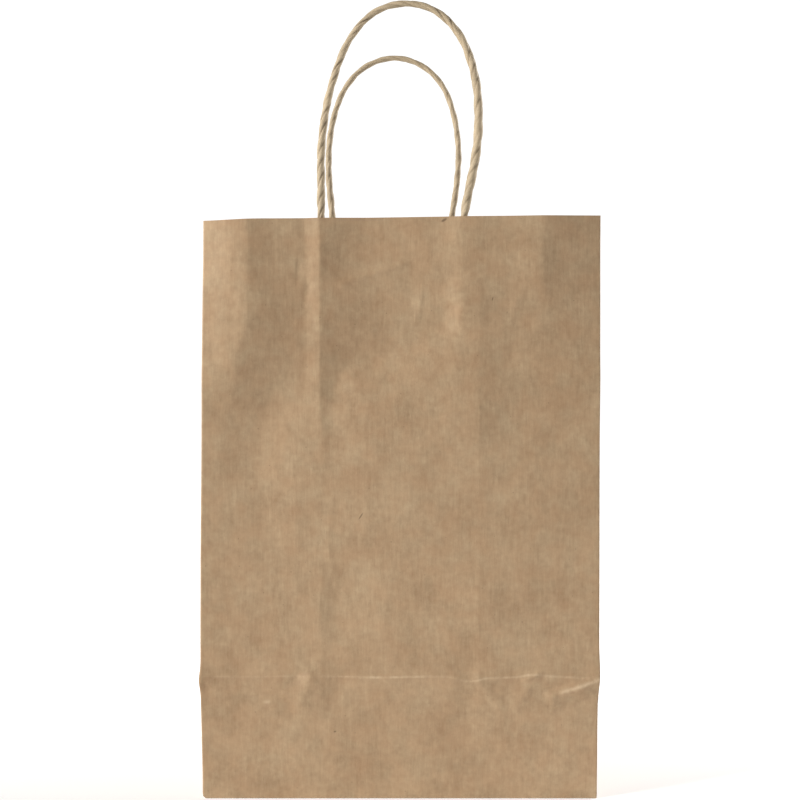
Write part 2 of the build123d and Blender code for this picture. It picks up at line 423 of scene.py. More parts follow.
def wall_point(end, x, z, inset=0.0):
    """Place of a point of a wall, inset inwards from its outer face, before any rounding of its edges."""
    side = np.sign(x)
    share = smooth((np.abs(x) - 50) / 40)
    shift = np.where(side < 0, edge_shift(-1, z), edge_shift(1, z)) * share
    if end > 0:
        shift = shift * 0.6
    out = wall_relief(end, x, np.minimum(z, TOP))
    return x + side * shift * smooth(z / 1.5), end * (HALF_DEPTH + out * smooth(z / 12) - inset), z


def lines(low, high, step, fine=(), reach=2.4, fine_step=0.4):
    """Grid lines from low to high, step apart, and closer near each fine place."""
    marks = set(np.linspace(low, high, max(2, round((high - low) / step) + 1)).round(4))
    for place in fine:
        near = np.arange(place - reach, place + reach + fine_step / 2, fine_step)
        marks = {m for m in marks if abs(m - place) > reach + fine_step / 2 or m in (low, high)}
        marks |= {round(float(m), 4) for m in near if low < m < high}
    marks |= {round(float(low), 4), round(float(high), 4)}
    return np.array(sorted(marks))


# === Meshes ===============================================================================================
def deselect():
    """Nothing stays selected, so that the next operator acts on its own piece alone."""
    if bpy.context.object and bpy.context.object.mode != "OBJECT":
        bpy.ops.object.mode_set(mode="OBJECT")
    bpy.ops.object.select_all(action="DESELECT")


def sheet(name, us, vs, place, flip, wear_and_painted_light=None):
    """A sheet of paper from a grid with these lines. place gives x, y and z of its visible side.

    flip turns the sheet over, so that its visible side faces out.
    """
    deselect()
    us = us[::-1] if flip else us
    columns, rows = len(us), len(vs)
    bpy.ops.mesh.primitive_grid_add(x_subdivisions=columns - 1, y_subdivisions=rows - 1, size=1.0)
    piece = bpy.context.object
    piece.name = piece.data.name = name
    count = len(piece.data.vertices)
    if count != columns * rows:
        raise RuntimeError(f"{name}: the grid has {count} points, and it needs {columns * rows}")
    flat = np.empty(count * 3, np.float32)
    piece.data.vertices.foreach_get("co", flat)
    flat = flat.reshape(-1, 3)
    u = us[np.rint((flat[:, 0] + 0.5) * (columns - 1)).astype(int)]
    v = vs[np.rint((flat[:, 1] + 0.5) * (rows - 1)).astype(int)]
    x, y, z = place(u, v)
    points = np.stack([x + 0 * u, y + 0 * u, z + 0 * u], axis=1) * MM
    piece.data.vertices.foreach_set("co", points.astype(np.float32).ravel())
    # Share of the worn tone at each point: worn fibres, and on the walls also a painted highlight.
    wear_and_painted_light_layer = piece.data.attributes.new("wear_and_painted_light", "FLOAT", "POINT")
    amount = np.zeros(count) if wear_and_painted_light is None else wear_and_painted_light(u, v)
    wear_and_painted_light_layer.data.foreach_set("value", np.asarray(amount, np.float32).ravel())
    solid = piece.modifiers.new("Thickness", "SOLIDIFY")
    solid.thickness = PAPER * MM
    solid.offset = -1.0
    solid.use_even_offset = True
    bpy.ops.object.modifier_apply(modifier=solid.name)
    bpy.ops.object.shade_smooth_by_angle(angle=math.radians(40))
    return piece


def finish_piece(piece, paper, nodes, body=None, blend=None):
    """Gives a piece its paper and hides the CAD nodes that it stands for. With a body it hangs the piece from
    that body's empty; with a blend, whose bodies and span are not read, it only bakes the piece's place into
    its mesh.
    """
    piece.data.materials.clear()
    piece.data.materials.append(material(paper))
    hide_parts(*nodes)
    if blend:
        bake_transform(piece)
    else:
        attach(piece, body)


# === Materials ============================================================================================
class Shader:
    """A material's node tree, with short calls for the nodes that the finishes here use."""

    def __init__(self, name):
        self.material = bpy.data.materials.new(name)
        self.material.use_nodes = True
        self.tree = self.material.node_tree
        self.surface = self.tree.nodes["Principled BSDF"]

    def feed(self, node, inputs):
        """Gives each named or numbered input its value, or links another node's output to it."""
        for key, value in inputs.items():
            if isinstance(value, bpy.types.NodeSocket):
                self.tree.links.new(value, node.inputs[key])
            else:
                node.inputs[key].default_value = value

    def node(self, kind, output, inputs, **settings):
        """One output of a new node that has these settings and inputs."""
        made = self.tree.nodes.new(kind)
        for key, value in settings.items():
            setattr(made, key, value)
        self.feed(made, inputs)
        return made.outputs[output]

    def coordinates(self, scale=(1, 1, 1), output="Object"):
        """Each point's place on the piece itself, or on its UV map, stretched by scale."""
        where = self.node("ShaderNodeTexCoord", output, {})
        return self.node("ShaderNodeMapping", "Vector", {"Vector": where, "Scale": scale})

    def noise(self, vector, scale, detail=2.0, roughness=0.5):
        inputs = {"Vector": vector, "Scale": scale, "Detail": detail, "Roughness": roughness}
        return self.node("ShaderNodeTexNoise", "Fac", inputs)

    def spots(self, vector, scale, low, high):
        """1 at scattered spots and 0 elsewhere."""
        distance = self.node("ShaderNodeTexVoronoi", "Distance", {"Vector": vector, "Scale": scale})
        return self.ramp(distance, high, low)

    def fibre(self, across, up, turn, length, width):
        """1 inside one small fibre in the front wall, or within 20 mm before or behind it, and 0 outside."""
        inputs = {
            "Vector": self.node("ShaderNodeTexCoord", "Object", {}),
            "Location": (across * MM, -HALF_DEPTH * MM, up * MM),
            "Rotation": (0.0, math.radians(turn), 0.0),
            "Scale": (width * MM, 20 * MM, length * MM),
        }
        place = self.node("ShaderNodeMapping", "Vector", inputs, vector_type="TEXTURE")
        distance = self.node("ShaderNodeVectorMath", "Value", {0: place}, operation="LENGTH")
        return self.ramp(distance, 1.15, 0.6)

    def ramp(self, value, low, high, to_low=0.0, to_high=1.0):
        """The value carried from one range to another, and held at both of its ends."""
        inputs = {"Value": value, "From Min": low, "From Max": high, "To Min": to_low, "To Max": to_high}
        return self.node("ShaderNodeMapRange", "Result", inputs)

    def maths(self, operation, first, second):
        return self.node("ShaderNodeMath", "Value", {0: first, 1: second}, operation=operation)

    def mix(self, share, first, second):
        inputs = {"Factor": share, "A": first, "B": second}
        return self.node("ShaderNodeMix", "Result", inputs, data_type="RGBA")

    def layers(self, *weighted):
        """The sum of patterns, each spread from 0 to 1 and given its weight."""
        total = 0.0
        for pattern, weight in weighted:
            layer = self.maths("MULTIPLY", self.ramp(pattern, 0.3, 0.7), weight)
            total = self.maths("ADD", layer, total)
        return total

    def wear_and_painted_light(self):
        """How worn the piece is at each point, with the painted highlight along the walls' edges and a
        slanted ridge; on a cord, how much shade is painted into its grooves.
        """
        return self.node("ShaderNodeAttribute", "Fac", {}, attribute_name="wear_and_painted_light")

    def bump(self, height, strength, distance):
        inputs = {"Height": height, "Strength": strength, "Distance": distance}
        return self.node("ShaderNodeBump", "Normal", inputs)


def opaque(colour, gain=1.0):
    """A colour from three numbers, brightened or darkened by gain, with full alpha."""
    return (*(min(1.0, c * gain) for c in colour), 1.0)


# Stray dark fibres in the front wall: place across and up, turn in degrees, half length and half width.
FIBRE_MARKS = [
    (-18.2, 130.5, 33, 1.9, 0.35),
    (-30.2, 31.4, 75, 0.7, 0.45),
    (19.5, 264.5, 60, 1.6, 0.6),
    (41.5, 229.0, 10, 1.0, 0.25),
]


def kraft_paper(name, grain, tone):
    """Unbleached kraft paper, whose fibres run along the grain axis, 0 to 2, with this brightness."""
    paper = bpy.context.scene.gift_bag_paper
    shader = Shader(name)
    plain = shader.coordinates()
    stretch = [1.0, 1.0, 1.0]
    stretch[grain] = 0.11
    fibre_space = shader.coordinates(tuple(stretch))
    cloud = shader.noise(plain, 62, 3.0, 0.55)
    mottle = shader.noise(plain, 330, 3.0, 0.65)
    streak = shader.noise(fibre_space, 900, 3.0, 0.6)
    fine = shader.noise(fibre_space, 2600, 2.0, 0.6)
    pale = shader.layers((cloud, 0.34), (mottle, 0.34), (streak, 0.22), (fine, 0.10))
    colour = shader.mix(pale, opaque(paper.dark_tone, tone), opaque(paper.light_tone, tone))
    hue = shader.ramp(shader.noise(plain, 120, 2.0, 0.5), 0.35, 0.65, 0.0, 0.22)
    colour = shader.mix(hue, colour, opaque(paper.warm_tone, tone))
    flecks = shader.spots(plain, 150, 0.030, 0.055)
    colour = shader.mix(shader.maths("MULTIPLY", flecks, 0.40), colour, opaque(paper.dark_tone, 0.45))
    for fibre in FIBRE_MARKS:
        stray = shader.maths("MULTIPLY", shader.fibre(*fibre), 0.6)
        colour = shader.mix(stray, colour, opaque(paper.dark_tone, 0.35))
    # Paler fibres where folds broke the surface, and a painted highlight along the walls' upright edges and
    # on the slanted ridge at the front crease's right end.
    pale_share = shader.maths("MULTIPLY", shader.wear_and_painted_light(), shader.ramp(mottle, 0.30, 0.62, 0.35, 1.0))
    height = shader.maths("ADD", shader.maths("MULTIPLY", streak, 0.6), shader.maths("MULTIPLY", mottle, 0.9))
    shader.feed(shader.surface, {
        "Base Color": shader.mix(pale_share, colour, opaque(paper.worn_and_highlight_tone)),
        "Roughness": shader.ramp(mottle, 0.25, 0.75, paper.roughness - 0.08, paper.roughness + 0.10),
        "Specular IOR Level": 0.35,
        "Normal": shader.bump(height, 0.35, 0.00022),
    })
    return shader.material


def cord_paper(name):
    """Pale kraft paper twisted to a cord. Its fibres follow the twist, which the UV map unrolls. Shade is
    painted into its grooves.
    """
    cord = bpy.context.scene.gift_bag_cord
    shader = Shader(name)
    along_twist = shader.coordinates((60.0, 9.0, 1.0), "UV")
    streak = shader.noise(along_twist, 1.0, 3.0, 0.6)
    cloud = shader.noise(shader.coordinates(), 160, 2.0, 0.5)
    pale = shader.layers((streak, 0.6), (cloud, 0.4))
    colour = shader.mix(pale, opaque(cord.light_tone, 0.64), opaque(cord.light_tone))
    shader.feed(shader.surface, {
        # Painted shade: the groove share darkens the grooves towards the groove shade tone.
        "Base Color": shader.mix(shader.wear_and_painted_light(), colour, opaque(cord.groove_shade_tone)),
        "Roughness": 0.6,
        "Specular IOR Level": 0.35,
        "Normal": shader.bump(streak, 0.5, 0.0002),
    })
    return shader.material


# The bag's papers, which differ only in the axis of their fibres and in their brightness.
PAPERS = {
    "kraft_paper_upright": (2, 1.0),
    "kraft_paper_flap": (1, 1.0),
    "kraft_paper_tuck": (0, 1.0),
    "kraft_paper_patch": (0, 1.08),
}


def material(name):
    """The material of this name, made on first use."""
    made = bpy.data.materials.get(name)
    return made or (kraft_paper(name, *PAPERS[name]) if name in PAPERS else cord_paper(name))


# === Walls and gussets ====================================================================================
def top_rise(x, v):
    """How far paper near the mouth is raised. The cut edge runs up to the right and dips at its left end."""
    return (0.85 + 0.013 * x - 0.5 * smooth((-60 - x) / 28)) * smooth((v - TOP + 40) / 40)


def rounded(distance, radius=EDGE_RADIUS):
    """Past the start of a rounded edge: how far the sheet has gone on, and how far it has turned in."""
    turn = np.clip(distance / radius, 0.0, EIGHTH_TURN)
    return radius * np.sin(turn), radius * (1 - np.cos(turn))


def wall_place(end):
    """place function of a wall: u runs across and v up, both measured along the paper."""
    side_start = HALF_WIDTH - EDGE_RADIUS

    def place(u, v):
        past_side = np.abs(u) - side_start
        go_side, in_side = rounded(past_side)
        x = np.sign(u) * np.where(past_side > 0, side_start + go_side, np.abs(u))
        past_foot = EDGE_RADIUS - v
        go_foot, in_foot = rounded(past_foot)
        z = np.where(past_foot > 0, EDGE_RADIUS - go_foot, v)
        z = z + top_rise(x, v)
        x, y, z = wall_point(end, x, z)
        return x, y - end * (in_side + in_foot), z

    return place


def wall_lines(end):
    """Grid lines of a wall across and up, closer at its edges and where it has small marks."""
    half = HALF_WIDTH - FOOT
    creases = [-half + 0.6, -FOLD_LINE - 1.5, FOLD_LINE, half - 0.6]
    if end > 0:
        creases.append(SEAM_EDGE)
    across = lines(-half, half, 1.25, creases, 1.2, 0.3)
    up = lines(FOOT, TOP, 1.25, [FOOT + 0.6], 2.0, 0.3)
    if end < 0:
        across = np.union1d(across[(across < 68) | (across > 87.5)], np.arange(68, 87.5, 0.75))
        up = np.union1d(up[(up < 44) | (up > 60)], np.arange(44, 60, 0.5))
    return across, up


def edge_highlight(u, v):
    """Painted highlight: 1 along the two upright edges of a wall, and less towards its foot."""
    return smooth((np.abs(u) - HALF_WIDTH + EDGE_RADIUS) / 0.4) * smooth((v - 40) / 160)


def front_wear_and_highlight(u, v):
    """Where the front wall's folds have broken the surface along the crease across it, and where a highlight
    is painted: on the slanted ridge at the crease's right end and along the wall's edges.
    """
    line = np.exp(-(((v - bottom_crease_line(u)) / 0.42) ** 2))
    strength = 0.25 + 0.5 * smooth((u + 38) / 8) * (1 - 0.5 * smooth((u - 80) / 6))
    pale_share = line * strength * (0.55 + 0.6 * rumple(u, v, 6, 2.0))
    # Painted highlight on the slanted ridge at the right end of the crease.
    share, distance = along(u, v, (70, 48.3), (91, 55.5))
    slanted = np.exp(-(((distance + 0.6) / 0.9) ** 2)) * window(share, 0.3, 1.0, 0.3)
    spot = np.exp(-(((u + 61) / 1.1) ** 2) - ((v - 45) / 0.8) ** 2)
    return np.clip(pale_share + 0.6 * slanted + 0.6 * spot + 0.5 * edge_highlight(u, v), 0.0, 1.0)


def back_highlight(u, v):
    """The back wall gets only a painted highlight along its two upright edges."""
    return 0.4 * edge_highlight(u, v)


def make_wall(end):
    """One wall's panel, from gusset to gusset."""
    name = END_NAMES[end]
    wear_and_painted_light = front_wear_and_highlight if end < 0 else back_highlight
    panel = sheet(f"{name}_wall_sheet", *wall_lines(end), wall_place(end), end > 0, wear_and_painted_light)
    finish_piece(panel, "kraft_paper_upright", [f"{name}_panel"], f"{name}_wall")


def make_seam():
    """The glued overlap inside the back wall."""
    low, high = node_box("back_seam_flap")

    def place(u, v):
        return wall_point(1, u, v, 2 * PAPER + GLUE)

    across = lines(low[0], high[0], 1.5)
    up = lines(low[2], high[2] - 0.4, 2.0)
    flap = sheet("back_seam_overlap", across, up, place, False)
    finish_piece(flap, "kraft_paper_upright", ["back_seam_flap"], "back_wall")


def gusset_depth(z):
    """How far a gusset's middle crease stands in at this height."""
    fold = bpy.context.scene.gift_bag_paper.gusset_fold / MM
    return fold * smooth((z - FOLD_RISE * 0.75) / (TOP - FOLD_RISE)) ** 0.8


def gusset_place(side, end):
    """place function of half a gusset: u is the share from its middle crease to the wall, v the height."""

    def place(u, v):
        z = v + top_rise(side * HALF_WIDTH, v)
        edge_x, edge_y, _ = wall_point(end, side * (HALF_WIDTH + 0 * v), v)
        middle = HALF_WIDTH + 0.8 * edge_shift(side, v) * smooth(v / 1.5)
        reach = np.abs(edge_y) * u
        past = reach - (np.abs(edge_y) - EDGE_RADIUS)
        turn = np.clip(past / EDGE_RADIUS, 0, 1) * EIGHTH_TURN
        y = np.where(past > 0, np.abs(edge_y) - EDGE_RADIUS * (1 - np.sin(turn)), reach)
        corner = np.where(past > 0, EDGE_RADIUS * (1 - np.cos(turn)), 0.0)
        fold = gusset_depth(v) * (1 - u)
        share, distance = along(reach, v, (HALF_DEPTH, 0), (0, FOLD_RISE))
        slant = 0.5 * soft_peak(distance, 6, 6, 0.4) * window(share, 0.05, 0.95, 0.15)
        level = -2.0 * soft_peak(v - FOLD_RISE, 5, 5, 0.3) * u * (1 - u) * (end < 0)
        swell = 0.5 * rumple(reach * end + 200 * side, v, 34, 1.9) * smooth(u * (1 - u) * 6)
        swell = swell + 1.1 * np.sin(np.pi * u) * smooth((v - 60) / 120)
        flat = middle + (np.abs(edge_x) - middle) * u
        x = flat - fold - corner + (slant + level + swell) * smooth(v / 10) * (1 - u**6)
        foot = np.clip((EDGE_RADIUS - v) / EDGE_RADIUS, 0, 1) * EIGHTH_TURN
        x = x - EDGE_RADIUS * (1 - np.cos(foot))
        return side * x, end * y, z

    return place


def make_gusset_half(side, end):
    """Half of a gusset, from its middle crease to its wall. Its place is baked into its mesh, and it doesn't
    bend.
    """
    name = f"{SIDE_NAMES[side]}_gusset_{END_NAMES[end]}"
    shares = lines(0.0, 1.0, 0.04, (0.993,), 0.012, 0.003)
    up = lines(FOOT, TOP, 2.0, (FOLD_RISE,), 2.0, 0.5)
    half = sheet(f"{name}_sheet", shares, up, gusset_place(side, end), side * end < 0, gusset_wear)
    stop = (0.0, end * (HALF_DEPTH - GUSSET_EDGE) * MM, 0.0)
    blend = ("base", f"{END_NAMES[end]}_wall", (0.0, 0.0, 0.0), stop)
    finish_piece(half, "kraft_paper_upright", [f"{name}_half"], blend=blend)


def gusset_wear(u, v):
    """The fibres break along the middle crease and the two slanting ones."""
    middle = np.exp(-((u / 0.008) ** 2)) * smooth((v - 40) / 60)
    share, distance = along(u * HALF_DEPTH, v, (HALF_DEPTH, 0), (0, FOLD_RISE))
    slant = np.exp(-((distance / 0.6) ** 2)) * window(share, 0.0, 1.0, 0.05)
    return np.clip(0.45 * middle + 0.4 * slant, 0.0, 1.0)


# === Bottom ===============================================================================================
def make_bottom_flap(end):
    """One trapezoid flap of the block bottom, seen from below."""
    name = f"bottom_{END_NAMES[end]}_flap"
    height = node_box(name)[0][2]

    def place(u, v):
        past = EDGE_RADIUS - v
        go, up = rounded(past)
        inward = np.where(past > 0, EDGE_RADIUS - go, v)
        half = HALF_WIDTH - PAPER - np.clip(v, 0, None)
        edge = smooth((np.abs(u) - 0.94) / 0.06)
        return u * half, end * (HALF_DEPTH - inward), height + up + 0.05 * edge

    inwards = lines(FOOT, FLAP_REACH, 2.0, (FOOT,), 0.6, 0.2)
    flap = sheet(f"{name}_sheet", lines(-1.0, 1.0, 0.04), inwards, place, end < 0)
    finish_piece(flap, "kraft_paper_flap", [name], "base")


def make_tuck(side):
    """A gusset's lower end, folded in over the flaps, seen from inside."""
    name = f"{SIDE_NAMES[side]}_gusset_tuck"
    low, high = node_box(name)
    inner, outer = sorted((abs(low[0]), abs(high[0])))
    narrowing = 1.5

    def place(u, v):
        share = (outer - u) / (outer - inner)
        half = TUCK_HALF - narrowing * share
        lift = 0.5 * smooth(share) * (0.6 + 0.4 * np.cos(v * 2.5))
        return side * u, v * half, high[2] + lift

    tuck = sheet(f"{name}_sheet", lines(inner, outer, 2.0), lines(-1.0, 1.0, 0.04), place, side < 0)
    finish_piece(tuck, "kraft_paper_tuck", [name], "base")


# === Patches ==============================================================================================
def tent_height(distance, centre, radius, foot):
    """Height of paper stretched over a cord: round over its top, then straight down to its foot."""
    far = math.hypot(foot, centre)
    slope = math.atan2(centre, foot) + math.asin(radius / far)
    touch = math.sqrt(far**2 - radius**2)
    limit = foot - touch * math.cos(slope)
    distance = np.abs(distance)
    over = centre + np.sqrt(np.clip(radius**2 - distance**2, 0, None))
    flank = np.clip((foot - distance) * math.tan(slope), 0, None)
    return np.where(distance < limit, over, flank)


def patch_place(end, inset, tented):
    """place function of a patch strip, inset from the wall's outer face and tented over the cords or flat."""
    legs = handle_legs(end)
    middle = sum(legs) / 2
    cord_height = HALF_DEPTH - inset - CORD_LINE
    tent_radius, tent_foot = 1.95, 4.6

    def place(u, v):
        x = middle + u
        rise = 0.0
        if tented:
            for leg in legs:
                tent = tent_height(x - leg, cord_height, tent_radius, tent_foot)
                rise = rise + tent * smooth((v - HELD_END + 4.5) / 7.0)
            rise = rise + 0.08 * (1 + rumple(x, v, 9, 4.4))
        wall_x, wall_y, z = wall_point(end, x, v, inset)
        return wall_x, wall_y - end * rise, z

    return place


def make_patch(end):
    """The two strips that hold one handle's ends, inside a wall."""
    name = END_NAMES[end]
    legs = handle_legs(end)
    low, high = node_box(f"{name}_patch_base")
    half = (high[0] - low[0]) / 2
    for part, layer in (("base", 2), ("cover", 3)):
        tented = part == "cover"
        fine = [leg - sum(legs) / 2 for leg in legs] if tented else []
        across = lines(-half, half, 2.0, fine, 5.6, 0.35)
        place = patch_place(end, layer * PAPER + GLUE * (layer - 1), tented)
        strip = sheet(f"{name}_patch_{part}_strip", across, lines(low[2], high[2], 2.0), place, end < 0)
        finish_piece(strip, "kraft_paper_patch", [f"{name}_patch_{part}"], f"{name}_wall")


# === Handles ==============================================================================================
def route_points(end):
    """The whole cord's points, from one held end to the other, in metres."""
    held = [HELD_END, HELD_END + 14.0, HELD_END + 28.0, HELD_END + 39.0]
    left_leg, right_leg = handle_legs(end)
    left = [(left_leg, end * CORD_LINE, z) for z in held]
    right = [(right_leg, end * CORD_LINE, z) for z in reversed(held)]
    foot = TOP + CORD_FOOT
    lean, rise = math.sin(HANDLE_LEAN), math.cos(HANDLE_LEAN)
    free = [(across, end * (CORD_LINE + up * lean), foot + up * rise) for across, up in ROUTES[end]]
    return [Vector(p) * MM for p in (*left, *free, *right)]


def centre_line(name, points):
    """Points along the smooth curve that has these control points."""
    data = bpy.data.curves.new(name, "CURVE")
    data.dimensions = "3D"
    data.resolution_u = 16
    spline = data.splines.new("NURBS")
    spline.points.add(len(points) - 1)
    for point, place in zip(spline.points, points):
        point.co = (*place, 1.0)
    spline.order_u = 3
    spline.use_endpoint_u = True
    curve = bpy.data.objects.new(name, data)
    bpy.context.scene.collection.objects.link(curve)
    bpy.context.view_layer.update()
    mesh = bpy.data.meshes.new_from_object(curve)
    route = np.array([v.co for v in mesh.vertices], float)
    bpy.data.objects.remove(curve)
    bpy.data.meshes.remove(mesh)
    return route


def even_steps(route, step):
    """The same line with its points this far apart, and each point's distance from the start."""
    lengths = np.concatenate([[0.0], np.cumsum(np.linalg.norm(np.diff(route, axis=0), axis=1))])
    count = round(lengths[-1] / step) + 1
    steps = np.linspace(0.0, lengths[-1], count)
    return np.stack([np.interp(steps, lengths, route[:, k]) for k in range(3)], axis=1), steps


def cross_frames(route):
    """At each point, two directions across the line that turn with it and never spin."""
    tangents = np.gradient(route, axis=0)
    tangents /= np.linalg.norm(tangents, axis=1)[:, None]
    first = np.cross(tangents[0], (0.0, 1.0, 0.0))
    sides = []
    for tangent in tangents:
        first = first - tangent * (first @ tangent)
        first = first / np.linalg.norm(first)
        sides.append(first.copy())
    sides = np.array(sides)
    return sides, np.cross(tangents, sides)


# Each cord's radius and the depth of its twist, at shares of its length from its left end to its right.
CORD_RADII = {
    -1: [(0, 1.55), (0.14, 1.6), (0.17, 1.85), (0.30, 1.7), (0.42, 1.45), (0.52, 1.4), (0.60, 1.75),
         (0.72, 2.0), (0.82, 2.0), (0.838, 1.95), (0.848, 1.65), (0.858, 1.5), (1, 1.5)],
    1: [(0, 1.55), (0.14, 1.55), (0.2, 1.75), (0.36, 1.5), (0.5, 1.4), (0.64, 1.5), (0.8, 1.6), (0.86, 1.55),
        (1, 1.55)],
}
CORD_TWIST = {
    -1: [(0, 1.0), (0.38, 1.0), (0.5, 0.55), (0.62, 0.65), (1, 0.8)],
    1: [(0, 0.5), (1, 0.4)],
}


def cord_surface(end, steps, angles):
    """Radius in millimetres, groove share and twist angle of a cord, over its length and round it. The groove
    share sets how much shade is painted into the grooves.
    """
    cord = bpy.context.scene.gift_bag_cord
    seed = 20.0 + 7 * end
    length, angle = np.meshgrid(steps / MM, angles, indexing="ij")
    twist = angle - 2 * np.pi * length / (cord.lead / MM)
    lead_noise = 0.5 * rumple(length[:, :1], 0 * length[:, :1], 17, seed)
    depth = cord.groove_depth / MM
    grooves = 0.0
    for turn, share in ((0.0, 1.0), (2.0, 0.75), (4.3, 0.55)):
        strength = 0.85 + 0.9 * rumple(length[:, :1], turn + 0 * length[:, :1], 13, seed + 5)
        apart = np.angle(np.exp(1j * (twist - turn - lead_noise)))
        grooves = grooves + share * np.clip(strength, 0.1, 1.5) * np.exp(-((apart / 0.24) ** 2))
    share_along = length[:, 0] / length[-1, 0]
    grooves = grooves * np.interp(share_along, *zip(*CORD_TWIST[end]))[:, None]
    radius = np.interp(share_along, *zip(*CORD_RADII[end]))[:, None]
    lobes = 0.07 * np.cos(2 * twist) + 0.06 * rumple(length, 3 * twist, 5, seed + 9)
    # The second value is the groove share, which paints shade into the grooves.
    return radius * (1 + lobes) - depth * grooves, np.clip(grooves, 0, 1) * 0.85, twist


def make_cord_mesh(name, end, route):
    """A closed tube along the route whose skin has the twist's grooves."""
    sides = CORD_SIDES
    line, steps = even_steps(route, CORD_STEP * MM)
    across, other = cross_frames(line)
    angles = np.linspace(0, 2 * np.pi, sides, endpoint=False)
    radius, grooves, twist = cord_surface(end, steps, angles)
    reach = radius[..., None] * MM
    skin = line[:, None] + reach * (
        np.cos(angles)[None, :, None] * across[:, None] + np.sin(angles)[None, :, None] * other[:, None]
    )
    rings = len(line)
    points = np.concatenate([skin.reshape(-1, 3), line[:1], line[-1:]])
    side_turn = 2 * np.pi / sides
    faces, unrolled = [], []
    for ring in range(rings - 1):
        here, there = ring * sides, (ring + 1) * sides
        for k in range(sides):
            after = (k + 1) % sides
            faces.append((here + k, here + after, there + after, there + k))
            start, rise = twist[ring, k], twist[ring + 1, k]
            unrolled += [(start, steps[ring]), (start + side_turn, steps[ring]),
                         (rise + side_turn, steps[ring + 1]), (rise, steps[ring + 1])]
    first, last = rings * sides, rings * sides + 1
    tail = (rings - 1) * sides
    for k in range(sides):
        after = (k + 1) % sides
        faces += [(first, after, k), (last, tail + k, tail + after)]
        unrolled += [(0.0, 0.0)] * 6
    mesh = bpy.data.meshes.new(name)
    mesh.from_pydata([tuple(p) for p in points], [], faces)
    uv = mesh.uv_layers.new(name="unrolled")
    flat = np.array(unrolled, float) / (2 * np.pi, UNROLLED_LENGTH * MM)
    uv.data.foreach_set("uv", flat.astype(np.float32).ravel())
    # The groove share, stored for the shade painted into the grooves.
    wear_and_painted_light_layer = mesh.attributes.new("wear_and_painted_light", "FLOAT", "POINT")
    wear_and_painted_light_layer.data.foreach_set("value", np.append(grooves.ravel(), [0, 0]).astype(np.float32))
    mesh.update()
    piece = bpy.data.objects.new(name, mesh)
    bpy.context.scene.collection.objects.link(piece)
    deselect()
    piece.select_set(True)
    bpy.context.view_layer.objects.active = piece
    bpy.ops.object.mode_set(mode="EDIT")
    bpy.ops.mesh.select_all(action="SELECT")
    bpy.ops.mesh.normals_make_consistent(inside=False)
    bpy.ops.object.mode_set(mode="OBJECT")
    bpy.ops.object.shade_smooth_by_angle(angle=math.radians(75))
    return piece


def make_handle(end):
    """One whole cord: its loop, and both of its ends in the patch."""
    name = END_NAMES[end]
    line = centre_line(f"{name}_route", route_points(end))
    cord = make_cord_mesh(f"{name}_handle_cord", end, line)
    start, stop = ((0.0, end * CORD_LINE * MM, (TOP + height) * MM) for height in CORD_BEND)
    nodes = [f"{name}_handle_loop", f"{name}_cord_end_left", f"{name}_cord_end_right"]
    blend = (f"{name}_wall", f"{name}_handle", start, stop)
    finish_piece(cord, "twisted_cord_paper", nodes, blend=blend)


# === Stage ================================================================================================
# Its lengths and places are in metres.
FLOOR_RADIUS = 3.1
BACKDROP_HEIGHT = 1.6
SWEEP_RADIUS = 1.0
WHITE = (1.0, 1.0, 1.0, 1.0)
FLOOR_GREY = (0.80, 0.80, 0.80, 1.0)
BACKDROP_GREY = (0.10, 0.10, 0.10, 1.0)
BAG_MIDDLE = (0.0, 0.0, 0.16)
KEY_PLACE = (-2.10, -0.95, 1.12)
FILL_PLACE = (1.5, 0.72, 0.95)
CAMERA_SIDE = -0.00045  # the camera stands this far to the right of the bag's middle


def make_floor():
    """A round pale floor that sweeps up into a backdrop on all sides.

    The backdrop glows white but reflects little, so that it doesn't flood the bag with light.
    """
    deselect()
    bpy.ops.mesh.primitive_cylinder_add(
        vertices=128, radius=FLOOR_RADIUS, depth=BACKDROP_HEIGHT, location=(0, 0, BACKDROP_HEIGHT / 2)
    )
    bpy.ops.object.transform_apply(location=True, rotation=False, scale=False)
    floor = bpy.context.object
    floor.name = floor.data.name = "studio_floor"
    bpy.ops.object.mode_set(mode="EDIT")
    bpy.ops.mesh.select_all(action="DESELECT")
    bpy.ops.object.mode_set(mode="OBJECT")
    for face in floor.data.polygons:
        face.select = face.normal.z > 0.9
    bpy.ops.object.mode_set(mode="EDIT")
    bpy.ops.mesh.delete(type="FACE")
    bpy.ops.mesh.select_all(action="SELECT")
    bpy.ops.mesh.flip_normals()
    bpy.ops.object.mode_set(mode="OBJECT")
    sweep = floor.modifiers.new("Sweep", "BEVEL")
    sweep.width = SWEEP_RADIUS
    sweep.segments = 24
    sweep.limit_method = "ANGLE"
    sweep.angle_limit = math.radians(60)
    bpy.ops.object.modifier_apply(modifier=sweep.name)
    bpy.ops.object.shade_smooth_by_angle(angle=math.radians(60))
    floor.data.materials.append(studio_surface())


